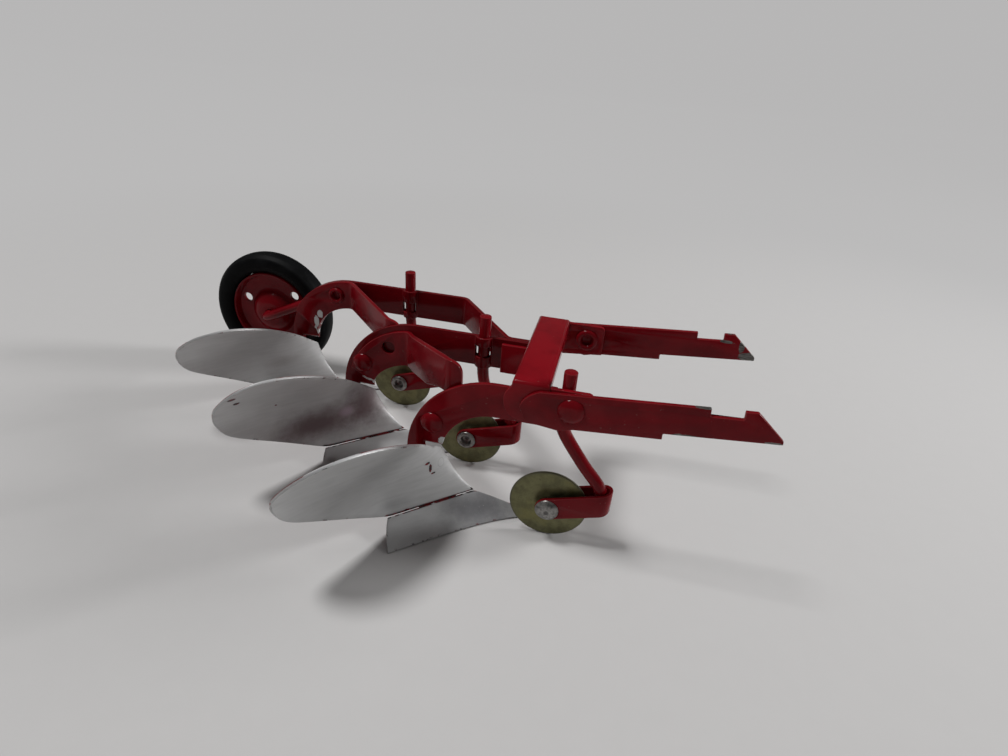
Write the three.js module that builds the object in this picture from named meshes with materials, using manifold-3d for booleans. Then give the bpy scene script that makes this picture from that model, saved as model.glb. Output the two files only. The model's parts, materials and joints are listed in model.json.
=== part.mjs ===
// A small pressed-steel toy plough with three moldboard bottoms and a two-prong hitch.
// Millimetres. +X is forward, +Y is the plough's left and +Z is up; the ground is z = 0.
import * as THREE from 'three';
import Module from 'manifold-3d';

const wasm = await Module();
wasm.setup();

// ---- Driving dimensions ----

// Sheet, wire and fits
const SHEET = 1.3; // beams, prongs, bracket and braces
const BLADE_SHEET = 0.8; // moldboards and shares
const LAP_GAP = 0.06; // between two pieces that are riveted face to face
const SEAT_GAP = 0.3; // between a cut piece and the one it is cut around
const RUN_GAP = 0.12; // radial clearance of what turns
const SIDE_GAP = 0.35; // side clearance of what turns

// Beams
const BEAM_TOP_Z = 48;
const BEAM_DEPTH = 10;
const BEAM_PITCH_X = 32.6; // each beam stands this far behind the one on its right
const BEAM_PITCH_Y = 27.2; // and this far to its left
const NECK_R = 25; // outer radius of the gooseneck
const NECK_X = [-19.5, -18.5, -19.5]; // its centre, ahead of the beam's own origin
const NECK_RIVET_IN = 4.7; // its rivets sit this far inside the outer edge
const NECK_RIVET_LOW_DEG = 151;
const NECK_HOLE_IN = 6.1; // an unused hole in the brace on the middle gooseneck
const NECK_HOLE_DEG = 118;
const AXLE_RIVET_DEG = 106;
const NECK_FOOT_Z = 1.2;
const RIGHT_BEAM_FRONT_X = -4.2;
const MIDDLE_BEAM_FRONT_X = -8;
const LEFT_JOG_REAR = 22.2; // ahead of the left beam's own origin
const LEFT_JOG_FRONT = 9.6; // ahead of the middle beam's

// Windows that a coulter stem is woven through
const WINDOW_LENGTH = 4.6;
const WINDOW_HEIGHT = 3.4;
const WINDOW_MID_Z = [0, 43.3, 42]; // the right beam has none
const BAND_SHEET = 0.8; // the bands pressed out around the stem are drawn thinner

// Diagonal braces
const BRACE_LAP = 4;
const BRACE_TOE_DEG = 163; // its lower end at the gooseneck's inner edge
const BRACE_FRONT_HEEL_DEG = 161; // and at its outer edge
const BRACE_REAR_HEEL_DEG = 154;
const BRACE_FRONT_IN = 1.8; // the front brace's edge lies this far inside the gooseneck's
const BRACE_FRONT_BEND = 20.9; // behind the middle beam's own origin
const BRACE_FRONT_END = 29.5; // behind the right beam's
const BRACE_REAR_BEND = 19.3; // behind the left beam's own origin
const BRACE_REAR_END = 24.4; // behind the middle beam's
const BRACE_FRONT_RISE = 6; // from the gooseneck to the raised front end
const BRACE_FRONT_DROP = 3.4; // its lower edge hangs this far into the arch
const BRACE_END_R = 4.5;

// Hitch bracket
const BRACKET_WIDTH = 43.8;
const BRACKET_TOP_Z = 51.2;
const BRACKET_REAR_X = -15.8;
const BRACKET_FRONT_X = -6;
const LEG_REAR_X = [-18, -14.8]; // right and left
const LEG_TOE = 6; // from its rear to where its lower edge runs level
const LEG_RISE = 1.5; // its lower edge rises this much to the ear
const EAR_R = 1.5;
const EAR_FRONT_X = 5.2;
const EAR_TOP_Z = 50.4;
const LEG_BOTTOM_Z = 39.4;
const CENTRE_PLATE_REAR_X = -24.2;
const CENTRE_PLATE_TOP_Z = 46.9;
const CENTRE_PLATE_BOTTOM_Z = 37.4;

// Hitch prongs, each drawn from its rivet
const PRONG_RIVET_Z = 45.5;
const PRONG_REST_DEG = 4.7; // how far the prongs point up as the plough is parked
const PRONG_LENGTH = 50.4;
const PRONG_TOP = 4.7;
const PRONG_BOTTOM = -5.4;
const PRONG_STEP_X = 22.7;
const PRONG_STEP_BOTTOM = -3.7;
const PRONG_REAR = [-13.3, -10.6]; // right and left
const PRONG_CROWN = 5.4; // from its rear to where its top edge begins
const PRONG_HEEL = [[1.4, -4.3], [10, -6.1], [14, PRONG_BOTTOM]]; // corners ahead of its rear
const NOTCH_REAR_X = 33.1;
const NOTCH_LENGTH = 7.6;
const NOTCH_DEPTH = 2.2;
const HOOK_FRONT_X = 43.7;
const TIP_TOP = -2.4;
const TIP_BOTTOM = -3.4;
const PRONG_RIVET_R = 2.4;
const PRONG_RIVET_HEAD_R = 3.5;

// Rivets
const RIVET_R = 2.0;
const RIVET_HEAD_R = 3.2;
const AXLE_RIVET_HEAD_R = 2.9;
const RIVET_HEAD_HEIGHT = 1.3;
const RIVET_RIM = 0.9; // the rolled end's height

// Coulters
const STEM_TOP_Z = 54.4;
const STEM_R = 1.8;
const STEM_X = [-1.5, 2.7, 2]; // ahead of each beam's own origin
const STEM_BEND_Z = [35, 31, 31];
const STEM_FOOT_Z = 19;
const STEM_POKE = 0.4; // how far its end stands out below the fork
const FORK_SHEET = 1.0;
const FORK_HEIGHT = 7;
const FORK_LENGTH = 14.4; // from the disc's axle to the stem's foot
const FORK_PITCH_DEG = 17;
const DISC_R = 11.2;
const DISC_THICKNESS = 0.8;
const DISC_AXLE_X = [-2.85, -0.8, -1.7]; // ahead of each beam's own origin
const DISC_RIVET_R = 2.2;
const DISC_RIVET_HEAD_R = [3.4, 3.2, 3.2];

// Tail wheel
const WHEEL_BACK = 61.8; // behind the left beam's own origin
const WHEEL_OUT = 16; // outside the left beam's mid-plane
const TYRE_R = 24;
const TYRE_WIDTH = 10.5;
const RIM_R = 16.6;
const RIM_LIP = 1.7; // the raised band inside the tyre
const HUB_R = 9;
const HUB_DEPTH = 4.6;
const WHEEL_HOLE_R = 1.8;
const WHEEL_HOLE_CIRCLE = 12;
const WHEEL_HOLE_DEG = 39;
const AXLE_R = 1.8;
const EYE_R = 4;
const EYE_THICKNESS = 1.4;
const AXLE_ELBOW_IN = 8.6; // from the wheel's plane to the axle's elbow

// Moldboard and share edges of the right bottom
const TOP_FRONT = new THREE.Vector3(-35.8, 5.1, 21);
const TOP_PULL_FRONT = new THREE.Vector3(-38.8, -18.5, 39);
const TOP_PULL_REAR = new THREE.Vector3(-50.3, -42.5, 47.2);
const WING_TIP = new THREE.Vector3(-62.8, -39.4, 29.6);
const WING_PULL_REAR = new THREE.Vector3(-64.1, -35.1, 17);
const WING_PULL_FRONT = new THREE.Vector3(-61, -35.7, 22.4);
const JOINT_REAR = new THREE.Vector3(-46.9, -10.4, 4.6);
const JOINT_FRONT = new THREE.Vector3(-25.9, 6.4, 6.4);
const SHIN_PULL = new THREE.Vector3(-31.5, 5.6, 11);
const SHARE_HEEL = new THREE.Vector3(-43.3, -19.4, 0.4);
const SHARE_POINT = new THREE.Vector3(-5, 7, 0.9);
const CUT_PULL_REAR = new THREE.Vector3(-29, -7, 0.4);
const CUT_PULL_FRONT = new THREE.Vector3(-17, 4.5, 0.5);
const JOINT_GAP = 0.12;
const BELLY = 3.2; // how far the moldboard's middle hollows back
const WING_END_U = 0.985; // where its wing is cut off along its length
const WING_ROUND = 0.035; // and how far the cut's corners are rounded back
const SHARE_BELLY = 0.7;
const BOTTOM_PIVOT = new THREE.Vector3(-45, -12, 20);
const BOTTOM_TILT_DEG = [[0, 0, 0], [-1.8, -1.4, -2.2], [1.5, 10.2, -0.4]]; // each sits a little its own way
const BOTTOM_SHIFT = [[0, 0, 0], [0.1, -1.2, -0.3], [-2.8, 0.6, -1.75]];
const LANDSIDE_HEIGHT = 7;
const LANDSIDE_LENGTH = 26;

// ---- Worked-out places ----

const sides = ['right', 'middle', 'left'];
const beamX = (i) => -i * BEAM_PITCH_X;
const beamY = (i) => i * BEAM_PITCH_Y; // mid-plane of beam i; y = 0 is the right beam's
const bracketRightY = -(SHEET * 1.5 + LAP_GAP);
const bracketLeftY = bracketRightY + BRACKET_WIDTH;
const beamBottomZ = BEAM_TOP_Z - BEAM_DEPTH;
const neckX = (i) => beamX(i) + NECK_X[i];
const neckZ = BEAM_TOP_Z - NECK_R;
const neckInnerR = NECK_R - BEAM_DEPTH;
const forkInner = 2 * STEM_R + SEAT_GAP;
const wheelX = beamX(2) - WHEEL_BACK;
const wheelY = beamY(2) + WHEEL_OUT;
const elbowY = wheelY - AXLE_ELBOW_IN;

const red = { color: 0xa3101c, roughness: 0.38, metalness: 0.1 };
const silver = { color: 0xa8a9ab, roughness: 0.42, metalness: 0.6 };
const zinc = { color: 0x8f8c5c, roughness: 0.5, metalness: 0.5 };
const steel = { color: 0x8d8a84, roughness: 0.45, metalness: 0.8 };
const rubber = { color: 0x151618, roughness: 0.75, metalness: 0 };

const plough = new THREE.Group();
plough.name = 'moldboard_plough';

// ---- Helpers ----

function add(name, geometry, look) {
  const mesh = new THREE.Mesh(geometry, new THREE.MeshStandardMaterial(look));
  mesh.name = name;
  plough.add(mesh);
  return mesh;
}

// Weld a geometry's corners and hand it to the boolean kernel.
function toManifold(geometry) {
  const position = geometry.getAttribute('position');
  const index = geometry.index ? geometry.index.array : null;
  const count = index ? index.length : position.count;
  const lookup = new Map();
  const vertices = [];
  const triangles = [];
  for (let k = 0; k < count; k += 1) {
    const at = index ? index[k] : k;
    const corner = [position.getX(at), position.getY(at), position.getZ(at)];
    const key = corner.map((value) => Math.round(value * 1e4)).join(' ');
    if (!lookup.has(key)) {
      lookup.set(key, vertices.length / 3);
      vertices.push(...corner);
    }
    triangles.push(lookup.get(key));
  }
  const kept = [];
  for (let k = 0; k < triangles.length; k += 3) {
    const [a, b, c] = triangles.slice(k, k + 3);
    if (a !== b && b !== c && c !== a) {
      kept.push(a, b, c);
    }
  }
  const mesh = new wasm.Mesh({
    numProp: 3,
    vertProperties: new Float32Array(vertices),
    triVerts: new Uint32Array(kept),
  });
  mesh.merge();
  return new wasm.Manifold(mesh);
}

function toGeometry(solid) {
  const mesh = solid.getMesh();
  const geometry = new THREE.BufferGeometry();
  geometry.setAttribute('position', new THREE.BufferAttribute(new Float32Array(mesh.vertProperties), 3));
  geometry.setIndex(new THREE.BufferAttribute(new Uint32Array(mesh.triVerts), 1));
  return geometry;
}

function subtract(geometry, ...tools) {
  return toGeometry(tools.reduce((solid, tool) => solid.subtract(toManifold(tool)), toManifold(geometry)));
}

function unite(geometry, ...others) {
  return toGeometry(others.reduce((solid, other) => solid.add(toManifold(other)), toManifold(geometry)));
}

function intersect(a, b) {
  return toGeometry(toManifold(a).intersect(toManifold(b)));
}

// A plate whose outline is drawn in the XZ plane, from yLow to yLow + thickness.
function sidePlate(shape, yLow, thickness = SHEET, curveSegments = 10) {
  const geometry = new THREE.ExtrudeGeometry(shape, { depth: thickness, bevelEnabled: false, curveSegments });
  geometry.rotateX(Math.PI / 2);
  geometry.translate(0, yLow + thickness, 0);
  return geometry;
}

// A plate whose outline is drawn in the XY plane, from zLow to zHigh.
function floorPlate(shape, zLow, zHigh, curveSegments = 12) {
  const depth = zHigh - zLow;
  const geometry = new THREE.ExtrudeGeometry(shape, { depth, bevelEnabled: false, curveSegments });
  geometry.translate(0, 0, zLow);
  return geometry;
}

// A round pin along Y.
function crossPin(radius, yLow, yHigh, x, z, segments = 24) {
  const geometry = new THREE.CylinderGeometry(radius, radius, yHigh - yLow, segments);
  geometry.translate(x, (yLow + yHigh) / 2, z);
  return geometry;
}

// A body turned about Y through (x, z); the profile gives radius and y.
function turned(profile, x, z, segments = 48) {
  const points = profile.map(([radius, y]) => new THREE.Vector2(radius, y));
  if (THREE.ShapeUtils.isClockWise(points)) {
    points.reverse();
  }
  points.push(points[0].clone());
  const geometry = new THREE.LatheGeometry(points, segments);
  geometry.translate(x, 0, z);
  return geometry;
}

// The plan outline of a folded strip, from the points of its middle line.
function stripPlan(points, thickness) {
  const offset = (side) => points.map((point, k) => {
    const before = points[Math.max(k - 1, 0)];
    const after = points[Math.min(k + 1, points.length - 1)];
    const into = point.clone().sub(before).normalize();
    const out = after.clone().sub(point).normalize();
    const way = k === 0 ? out : k === points.length - 1 ? into : into.clone().add(out).normalize();
    const straight = k === 0 ? out : into;
    const reach = thickness / 2 / way.dot(straight);
    return new THREE.Vector2(point.x - side * way.y * reach, point.y + side * way.x * reach);
  });
  return new THREE.Shape([...offset(1), ...offset(-1).reverse()]);
}

// Round the corners of a plan polyline.
function rounded(points, radius, steps = 6) {
  const out = [points[0]];
  for (let k = 1; k < points.length - 1; k += 1) {
    const into = points[k].clone().sub(points[k - 1]).normalize();
    const away = points[k + 1].clone().sub(points[k]).normalize();
    const turn = Math.acos(THREE.MathUtils.clamp(into.dot(away), -1, 1));
    const cut = radius * Math.tan(turn / 2);
    const start = points[k].clone().addScaledVector(into, -cut);
    const end = points[k].clone().addScaledVector(away, cut);
    const curve = new THREE.QuadraticBezierCurve(start, points[k], end);
    out.push(...curve.getPoints(steps));
  }
  out.push(points[points.length - 1]);
  return out;
}

// A round rod along a path.
function rod(path, radius, steps, segments = 7) {
  const section = new THREE.Shape().absarc(0, 0, radius, 0, Math.PI * 2);
  return new THREE.ExtrudeGeometry(section, { extrudePath: path, steps, curveSegments: segments });
}

// A curved plate: point(u, v) is its front face, and it is thickened away from the front.
// With a reach it runs forward along X instead, as a cutter for what ends behind it.
function curvedPlate(point, thickness, uRange, vRange, { setBack = 0, reach = 0, cells = [26, 9] } = {}) {
  const box = new THREE.BoxGeometry(1, 1, 1, cells[1], cells[0], 1);
  const position = box.getAttribute('position');
  const step = 1e-3;
  for (let k = 0; k < position.count; k += 1) {
    const v = THREE.MathUtils.lerp(...vRange, position.getX(k) + 0.5);
    const u = THREE.MathUtils.lerp(...uRange, position.getY(k) + 0.5);
    const inFront = position.getZ(k) > 0;
    const alongU = point(u + step, v).sub(point(u - step, v));
    const front = point(u, v + step).sub(point(u, v - step)).cross(alongU).normalize();
    const here = point(u, v);
    if (reach > 0) {
      here.addScaledVector(front, -setBack);
      here.x += inFront ? reach : 0;
    } else {
      here.addScaledVector(front, -setBack - (inFront ? 0 : thickness));
      here.z = Math.max(here.z, 0);
    }
    position.setXYZ(k, here.x, here.y, here.z);
  }
  return box;
}

// ---- Moldboard, share, frog and landside of one bottom ----

const topEdge = new THREE.CubicBezierCurve3(TOP_FRONT, TOP_PULL_FRONT, TOP_PULL_REAR, WING_TIP);
const wingEdge = new THREE.CubicBezierCurve3(JOINT_REAR, WING_PULL_FRONT, WING_PULL_REAR, WING_TIP);
const jointEdge = new THREE.LineCurve3(JOINT_FRONT, JOINT_REAR);
const shinEdge = new THREE.QuadraticBezierCurve3(JOINT_FRONT, SHIN_PULL, TOP_FRONT);
const cutEdge = new THREE.CubicBezierCurve3(SHARE_POINT, CUT_PULL_FRONT, CUT_PULL_REAR, SHARE_HEEL);
const JOINT_U = 0.42; // how far along the moldboard the share's joint runs
const bellyWay = new THREE.Vector3(-0.85, 0.5, 0.1);

const bottomMoves = BOTTOM_TILT_DEG.map((tilt, i) => {
  const angles = new THREE.Euler(...tilt.map((degrees) => THREE.MathUtils.degToRad(degrees)));
  const pivot = BOTTOM_PIVOT.clone().add(new THREE.Vector3(...BOTTOM_SHIFT[i]));
  return new THREE.Matrix4()
    .makeTranslation(beamX(i) + pivot.x, beamY(i) + pivot.y, pivot.z)
    .multiply(new THREE.Matrix4().makeRotationFromEuler(angles))
    .multiply(new THREE.Matrix4().makeTranslation(BOTTOM_PIVOT.clone().negate()));
});

const moldboardFace = (i) => (share, v) => {
  const u = share - WING_ROUND * (2 * v - 1) ** 2 * share ** 8;
  const pastJoint = (u - JOINT_U) / (1 - JOINT_U);
  const bottom = u < JOINT_U ? jointEdge.getPoint(u / JOINT_U) : wingEdge.getPoint(pastJoint);
  const top = topEdge.getPoint(u);
  const point = bottom.clone().lerp(top, v);
  const shinOffset = shinEdge.getPoint(v).sub(JOINT_FRONT.clone().lerp(TOP_FRONT, v));
  point.addScaledVector(shinOffset, (1 - u) ** 2);
  point.addScaledVector(bellyWay, BELLY * 4 * v * (1 - v) * Math.sin(Math.PI * Math.min(Math.max(u, 0), 1)));
  return point.applyMatrix4(bottomMoves[i]);
};

// The share's upper edge follows the moldboard; its cutting edge stays on the ground.
const shareFace = (i) => (u, v) => {
  const joint = jointEdge.getPoint(u).applyMatrix4(bottomMoves[i]);
  const cut = cutEdge.getPoint(u);
  const groundZ = cut.z;
  cut.applyMatrix4(bottomMoves[i]).setZ(groundZ);
  const gap = JOINT_GAP / joint.distanceTo(cut);
  return cut.lerp(joint, v * (1 - gap)).addScaledVector(bellyWay, SHARE_BELLY * 4 * v * (1 - v));
};

const frogSetBack = BLADE_SHEET + SEAT_GAP;
const frogFit = { setBack: frogSetBack, cells: [10, 8] };
const behindFrog = {
  setBack: frogSetBack + SHEET + SEAT_GAP,
  reach: 45,
  cells: [24, 12],
};
const behindShare = {
  setBack: BLADE_SHEET + SEAT_GAP,
  reach: 45,
  cells: [16, 4],
};

function gooseneck(i, frontX) {
  const x = neckX(i);
  const tabX = BRACKET_REAR_X + SEAT_GAP;
  const tabZ = BRACKET_TOP_Z - SHEET - LAP_GAP;
  const shape = new THREE.Shape();
  shape.moveTo(frontX, tabZ);
  shape.lineTo(tabX, tabZ);
  shape.lineTo(tabX, BEAM_TOP_Z);
  shape.lineTo(x, BEAM_TOP_Z);
  shape.absarc(x, neckZ, NECK_R, Math.PI / 2, Math.PI, false);
  shape.lineTo(x - NECK_R, neckZ / 2);
  shape.lineTo(x - NECK_R * 0.86, NECK_FOOT_Z);
  shape.lineTo(x - neckInnerR * 0.6, NECK_FOOT_Z);
  shape.lineTo(x - neckInnerR, neckZ);
  shape.absarc(x, neckZ, neckInnerR, Math.PI, Math.PI / 2, true);
  shape.lineTo(frontX, beamBottomZ);
  shape.closePath();
  return shape;
}

function footCutters(i) {
  return [
    curvedPlate(moldboardFace(i), 0, [-0.2, 0.7], [-0.25, 1.08], behindFrog),
    curvedPlate(shareFace(i), 0, [-0.1, 1], [-0.3, 1.3], behindShare),
  ];
}

for (let i = 0; i < 3; i += 1) {
  const side = sides[i];
  add(`moldboard_${side}`, curvedPlate(moldboardFace(i), BLADE_SHEET, [0, WING_END_U], [0, 1]), silver);
  add(`share_${side}`, curvedPlate(shareFace(i), BLADE_SHEET, [0, 1], [0, 1], { cells: [18, 5] }), silver);
  add(`frog_${side}`, curvedPlate(moldboardFace(i), SHEET, [0.04, 0.32], [0.12, 0.8], frogFit), red);
  const plate = new THREE.BoxGeometry(LANDSIDE_LENGTH, SHEET, LANDSIDE_HEIGHT);
  plate.translate(
    beamX(i) + JOINT_FRONT.x - LANDSIDE_LENGTH / 2 + 3,
    beamY(i) + JOINT_FRONT.y - SHEET * 1.5,
    LANDSIDE_HEIGHT / 2 + 0.3,
  );
  add(`landside_${side}`, subtract(plate, ...footCutters(i)), red);
}

// ---- Beams ----

// A window with the sheet above and below it pressed out in front of a stem.
function weave(geometry, i) {
  const [x, y] = [stemX(i), stemY(i)];
  const window = new THREE.BoxGeometry(WINDOW_LENGTH, 4 * SHEET, WINDOW_HEIGHT);
  window.translate(x, y, WINDOW_MID_Z[i]);
  const bore = new THREE.Shape().absarc(x, y, STEM_R + LAP_GAP, 0, Math.PI * 2);
  const band = new THREE.Shape().absarc(x, y, STEM_R + LAP_GAP + BAND_SHEET, Math.PI, Math.PI * 2);
  const whole = unite(geometry, floorPlate(band, beamBottomZ, BEAM_TOP_Z));
  return subtract(whole, window, floorPlate(bore, 0, BEAM_TOP_Z + 5));
}

function neckSpot(i, degrees, inside) {
  const angle = THREE.MathUtils.degToRad(degrees);
  return [neckX(i) + (NECK_R - inside) * Math.cos(angle), neckZ + (NECK_R - inside) * Math.sin(angle)];
}

const lowRivetSpots = [0, 1].map((i) => neckSpot(i, NECK_RIVET_LOW_DEG, NECK_RIVET_IN)); // the left has none
const axleSpot = neckSpot(2, AXLE_RIVET_DEG, NECK_RIVET_IN);
const neckHole = (i, spot) => crossPin(RIVET_R + LAP_GAP, beamY(i) - 6, beamY(i) + 6, ...spot);
const rivetHoles = [...lowRivetSpots, axleSpot].map((spot, i) => neckHole(i, spot));
const stemX = (i) => beamX(i) + STEM_X[i];
const rightStemY = bracketRightY + SHEET + LAP_GAP + STEM_R; // against the bracket's right ear
const stemY = (i) => (i === 0 ? rightStemY : beamY(i));

const rightBeam = sidePlate(gooseneck(0, RIGHT_BEAM_FRONT_X), -SHEET / 2);
add('beam_right', subtract(rightBeam, ...footCutters(0), rivetHoles[0]), red);

const middleBeam = sidePlate(gooseneck(1, MIDDLE_BEAM_FRONT_X), beamY(1) - SHEET / 2);
add('beam_middle', weave(subtract(middleBeam, ...footCutters(1), rivetHoles[1]), 1), red);

const leftFrontY = beamY(1) + SHEET + LAP_GAP;
const leftPlan = rounded([
  new THREE.Vector2(neckX(2) - NECK_R - 2, beamY(2)),
  new THREE.Vector2(beamX(2) + LEFT_JOG_REAR, beamY(2)),
  new THREE.Vector2(beamX(1) + LEFT_JOG_FRONT, leftFrontY),
  new THREE.Vector2(MIDDLE_BEAM_FRONT_X, leftFrontY),
], 3);
const leftProfile = sidePlate(gooseneck(2, MIDDLE_BEAM_FRONT_X), beamY(1) - 5, 40);
const leftBeam = intersect(floorPlate(stripPlan(leftPlan, SHEET), 0, BRACKET_TOP_Z), leftProfile);
add('beam_left', weave(subtract(leftBeam, ...footCutters(2), rivetHoles[2]), 2), red);

// ---- Diagonal braces ----

function brace(i, bend, end, inside, heelDegrees, rise, drop) {
  const bendX = beamX(i) - bend;
  const endX = beamX(i - 1) - end;
  const rearY = beamY(i) - SHEET - LAP_GAP;
  const frontY = beamY(i - 1) + SHEET + LAP_GAP;
  const x = neckX(i);
  const plan = rounded([
    new THREE.Vector2(x - NECK_R, rearY),
    new THREE.Vector2(bendX, rearY),
    new THREE.Vector2(endX - BRACE_LAP, frontY),
    new THREE.Vector2(endX, frontY),
  ], 3);
  const toe = THREE.MathUtils.degToRad(BRACE_TOE_DEG);
  const heel = THREE.MathUtils.degToRad(heelDegrees);
  const topZ = BEAM_TOP_Z - inside;
  const profile = new THREE.Shape();
  profile.moveTo(endX, topZ + rise - BRACE_END_R);
  profile.quadraticCurveTo(endX, topZ + rise, endX - BRACE_END_R, topZ + rise);
  profile.lineTo(x, topZ);
  profile.absarc(x, neckZ, NECK_R - inside, Math.PI / 2, heel, false);
  profile.absellipse(x, neckZ, neckInnerR, neckInnerR - drop, toe, Math.PI / 2, true);
  profile.lineTo(endX, beamBottomZ + rise / 2);
  profile.closePath();
  const strip = floorPlate(stripPlan(plan, SHEET), 0, topZ + rise + 1);
  const solid = intersect(strip, sidePlate(profile, frontY - 5, rearY - frontY + 10));
  return subtract(solid, ...footCutters(i), rivetHoles[i]);
}

const frontBrace = brace(
  1,
  BRACE_FRONT_BEND,
  BRACE_FRONT_END,
  BRACE_FRONT_IN,
  BRACE_FRONT_HEEL_DEG,
  BRACE_FRONT_RISE,
  BRACE_FRONT_DROP,
);
add('brace_front', subtract(frontBrace, neckHole(1, neckSpot(1, NECK_HOLE_DEG, NECK_HOLE_IN))), red);
add('brace_rear', brace(2, BRACE_REAR_BEND, BRACE_REAR_END, 0, BRACE_REAR_HEEL_DEG, 0, 0), red);

// ---- Hitch bracket ----

const topCentre = [(BRACKET_REAR_X + BRACKET_FRONT_X) / 2, (bracketRightY + bracketLeftY) / 2];
const bracketTop = new THREE.BoxGeometry(BRACKET_FRONT_X - BRACKET_REAR_X, BRACKET_WIDTH, SHEET);
bracketTop.translate(topCentre[0], topCentre[1], BRACKET_TOP_Z - SHEET / 2);

function legShape(rear) {
  const shape = new THREE.Shape();
  shape.moveTo(BRACKET_REAR_X, BRACKET_TOP_Z);
  shape.lineTo(BRACKET_REAR_X, EAR_TOP_Z - 1);
  shape.quadraticCurveTo(rear - 1, 46, rear + 1, 42);
  shape.quadraticCurveTo(rear + 2.5, LEG_BOTTOM_Z, rear + LEG_TOE, LEG_BOTTOM_Z);
  shape.lineTo(EAR_FRONT_X, LEG_BOTTOM_Z + LEG_RISE);
  shape.lineTo(EAR_FRONT_X, EAR_TOP_Z - EAR_R);
  shape.absarc(EAR_FRONT_X - EAR_R, EAR_TOP_Z - EAR_R, EAR_R, 0, Math.PI / 2, false);
  shape.lineTo(BRACKET_FRONT_X, EAR_TOP_Z);
  shape.lineTo(BRACKET_FRONT_X, BRACKET_TOP_Z);
  shape.closePath();
  return shape;
}

const prongHole = (yLow, yHigh) => crossPin(PRONG_RIVET_R + RUN_GAP, yLow, yHigh, 0, PRONG_RIVET_Z);
const legs = [bracketRightY, bracketLeftY - SHEET].map((yLow, k) => sidePlate(legShape(LEG_REAR_X[k]), yLow));
const bracket = unite(bracketTop, ...legs);
add('hitch_bracket', subtract(bracket, prongHole(bracketRightY - 2, bracketLeftY + 2)), red);

const centrePlate = new THREE.BoxGeometry(
  MIDDLE_BEAM_FRONT_X - CENTRE_PLATE_REAR_X,
  SHEET,
  CENTRE_PLATE_TOP_Z - CENTRE_PLATE_BOTTOM_Z,
);
centrePlate.translate(
  (MIDDLE_BEAM_FRONT_X + CENTRE_PLATE_REAR_X) / 2,
  beamY(1) - SHEET - LAP_GAP,
  (CENTRE_PLATE_TOP_Z + CENTRE_PLATE_BOTTOM_Z) / 2,
);
add('centre_plate', centrePlate, red);

// ---- Hitch prongs and their rivets ----

function prongShape(rear) {
  const shape = new THREE.Shape();
  shape.moveTo(rear + PRONG_CROWN, PRONG_TOP);
  shape.quadraticCurveTo(rear + 1, 3.4, rear, 0);
  for (const [ahead, z] of PRONG_HEEL) {
    shape.lineTo(rear + ahead, z);
  }
  shape.lineTo(PRONG_STEP_X, PRONG_BOTTOM);
  shape.lineTo(PRONG_STEP_X, PRONG_STEP_BOTTOM);
  shape.lineTo(PRONG_LENGTH, TIP_BOTTOM);
  shape.lineTo(PRONG_LENGTH, TIP_TOP);
  shape.lineTo(HOOK_FRONT_X, PRONG_TOP);
  shape.lineTo(NOTCH_REAR_X + NOTCH_LENGTH, PRONG_TOP);
  shape.lineTo(NOTCH_REAR_X + NOTCH_LENGTH, PRONG_TOP - NOTCH_DEPTH);
  shape.lineTo(NOTCH_REAR_X, PRONG_TOP - NOTCH_DEPTH);
  shape.lineTo(NOTCH_REAR_X, PRONG_TOP);
  shape.closePath();
  return shape;
}

function prong(yLow, rear) {
  const plate = sidePlate(prongShape(rear), yLow);
  plate.rotateY(-THREE.MathUtils.degToRad(PRONG_REST_DEG));
  plate.translate(0, 0, PRONG_RIVET_Z);
  return subtract(plate, prongHole(yLow - 2, yLow + 4));
}

// A rivet through [yLow, yHigh]: a dome on its outer side and a rolled rim on the other.
function hollowRivet(outerY, innerY, x, z, shankR, headR) {
  const way = Math.sign(innerY - outerY);
  const profile = [
    [0, outerY - way * RIVET_HEAD_HEIGHT],
    [headR * 0.5, outerY - way * RIVET_HEAD_HEIGHT * 0.86],
    [headR * 0.87, outerY - way * RIVET_HEAD_HEIGHT * 0.5],
    [headR, outerY - way * 0.1],
    [headR, outerY],
    [shankR, outerY],
    [shankR, innerY],
    [shankR * 1.4, innerY],
    [shankR * 1.4, innerY + way * RIVET_RIM * 0.65],
    [shankR * 0.9, innerY + way * RIVET_RIM],
    [shankR * 0.68, innerY + way * RIVET_RIM * 0.45],
    [shankR * 0.68, outerY + way * 0.8],
    [0, outerY + way * 0.8],
  ];
  return turned(profile, x, z, 20);
}

const prongOutY = [bracketRightY - LAP_GAP - SHEET, bracketLeftY + LAP_GAP];
['right', 'left'].forEach((side, k) => add(`hitch_prong_${side}`, prong(prongOutY[k], PRONG_REAR[k]), red));

function prongRivet(outer, inner) {
  return hollowRivet(outer, inner, 0, PRONG_RIVET_Z, PRONG_RIVET_R, PRONG_RIVET_HEAD_R);
}

const rightStemBore = new THREE.Shape().absarc(stemX(0), stemY(0), STEM_R + LAP_GAP, 0, Math.PI * 2);
const rightProngRivet = prongRivet(prongOutY[0] - LAP_GAP, bracketRightY + SHEET + LAP_GAP);
add('hitch_rivet_right', subtract(rightProngRivet, floorPlate(rightStemBore, 0, STEM_TOP_Z)), red);
add('hitch_rivet_left', prongRivet(prongOutY[1] + SHEET + LAP_GAP, bracketLeftY - SHEET - LAP_GAP), red);

// ---- Gooseneck rivets ----

const nearFace = (i, plates) => beamY(i) - SHEET / 2 - plates * (SHEET + LAP_GAP) - LAP_GAP;
const farFace = (i) => beamY(i) + SHEET / 2 + LAP_GAP;
for (let i = 0; i < 2; i += 1) {
  const rivet = hollowRivet(nearFace(i, i), farFace(i), ...lowRivetSpots[i], RIVET_R, RIVET_HEAD_R);
  add(`neck_rivet_${sides[i]}`, rivet, red);
}

// ---- Coulters ----

const forkPitch = THREE.MathUtils.degToRad(FORK_PITCH_DEG);

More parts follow.
